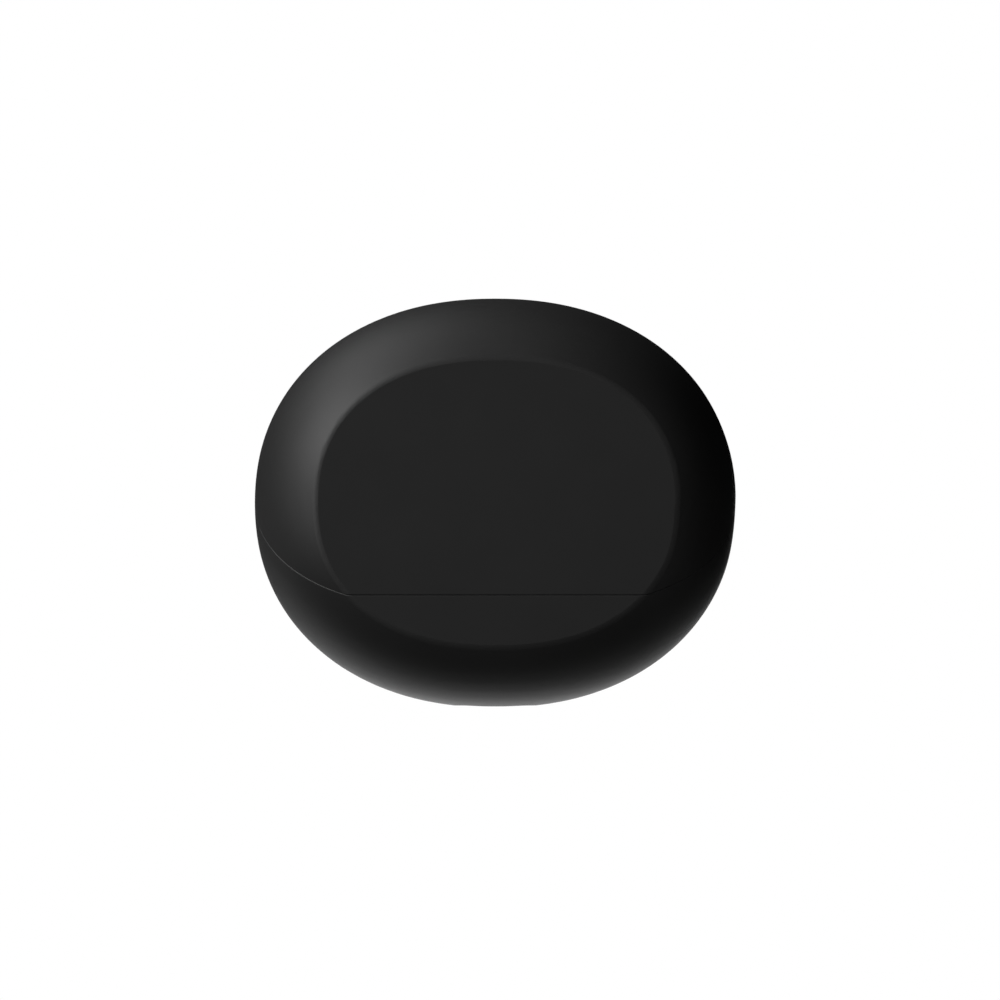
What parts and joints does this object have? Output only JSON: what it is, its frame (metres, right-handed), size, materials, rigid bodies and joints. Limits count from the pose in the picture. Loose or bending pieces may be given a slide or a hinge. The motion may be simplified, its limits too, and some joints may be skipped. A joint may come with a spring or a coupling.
{
  "type": "wireless earbuds case",
  "caption": "Oval pebble-shaped earbuds charging case with two flat faces, a slanting seam, a hinged lid and a USB-C port.",
  "frame": {"origin": "centre of the back face, on the surface the case lies on", "axes": "+X to the right across the front face, +Y up the front face towards the lid's crown, +Z out of the front face"},
  "size_m": [0.06, 0.0509, 0.028],
  "materials": {
    "shell_black": "soft-touch matt black with a fine moulded grain",
    "inner_black": "satin black moulding",
    "steel": "plain turned steel",
    "magnet_nickel": "bright nickel plate",
    "contact_gold": "gold plate",
    "rubber_black": "matt rubber",
    "button_black": "satin",
    "board_green": "solder mask",
    "flex_amber": "polyimide film",
    "chip_black": "moulded package",
    "battery_silver": "laminated pouch",
    "foam_grey": "closed-cell foam",
    "wire_red": "silicone",
    "wire_black": "silicone",
    "clear_plastic": "clear moulding",
    "lamp_white": "lamp body",
    "capacitor_tan": "ceramic"
  },
  "bodies": {
    "base": {"base_shell": "shell_black", "earbud_tray": "inner_black", "base_latch_magnets": "magnet_nickel", "earbud_magnets": "magnet_nickel", "hinge_pin": "steel", "charging_pin_barrels": "contact_gold", "charging_flex": "flex_amber", "tact_switch": "steel", "light_pipe": "clear_plastic", "status_lamp": "lamp_white", "lid_sensor": "chip_black", "indicator_board": "board_green", "battery_pad": "foam_grey", "battery_cell": "battery_silver", "battery_board": "board_green", "battery_lead_red": "wire_red", "battery_lead_black": "wire_black", "main_board": "board_green", "board_screws": "steel", "processor_chip": "chip_black", "charger_chip": "chip_black", "power_inductor": "chip_black", "board_capacitors": "capacitor_tan", "usb_board": "board_green", "usb_socket_shell": "steel", "usb_tongue": "chip_black", "usb_contacts": "contact_gold", "port_gasket": "rubber_black", "board_link": "flex_amber"},
    "lid": {"lid_shell": "shell_black", "lid_liner": "inner_black", "lid_latch_magnets": "magnet_nickel", "lid_sensor_magnet": "magnet_nickel", "lid_bumpers": "rubber_black"},
    "pairing_button": {"pairing_button": "button_black", "switch_nub": "button_black"},
    "charging_pin_left_front": {"charging_pin_left_front": "contact_gold"},
    "charging_pin_left_rear": {"charging_pin_left_rear": "contact_gold"},
    "charging_pin_right_front": {"charging_pin_right_front": "contact_gold"},
    "charging_pin_right_rear": {"charging_pin_right_rear": "contact_gold"}
  },
  "joints": [
    {"name": "lid_hinge", "type": "hinge", "parent": "base", "child": "lid", "pos_m": [0, 0.01043, 0.0013], "axis": [-1, 0, 0], "range_deg": [0, 100]},
    {"name": "charging_pin_left_front_slide", "type": "slide", "parent": "base", "child": "charging_pin_left_front", "axis": [0, -0.7727, -0.6347], "range_m": [0, 0.0005], "stiffness_N_per_m": 120, "springref_m": -0.0006},
    {"name": "charging_pin_left_rear_slide", "type": "slide", "parent": "base", "child": "charging_pin_left_rear", "axis": [0, -0.7727, -0.6347], "range_m": [0, 0.0005], "stiffness_N_per_m": 120, "springref_m": -0.0006},
    {"name": "charging_pin_right_front_slide", "type": "slide", "parent": "base", "child": "charging_pin_right_front", "axis": [0, -0.7727, -0.6347], "range_m": [0, 0.0005], "stiffness_N_per_m": 120, "springref_m": -0.0006},
    {"name": "charging_pin_right_rear_slide", "type": "slide", "parent": "base", "child": "charging_pin_right_rear", "axis": [0, -0.7727, -0.6347], "range_m": [0, 0.0005], "stiffness_N_per_m": 120, "springref_m": -0.0006},
    {"name": "pairing_button_press", "type": "slide", "parent": "base", "child": "pairing_button", "axis": [0, -0.7727, -0.6347], "range_m": [0, 0.00025], "stiffness_N_per_m": 1000, "springref_m": -0.0003}
  ]
}
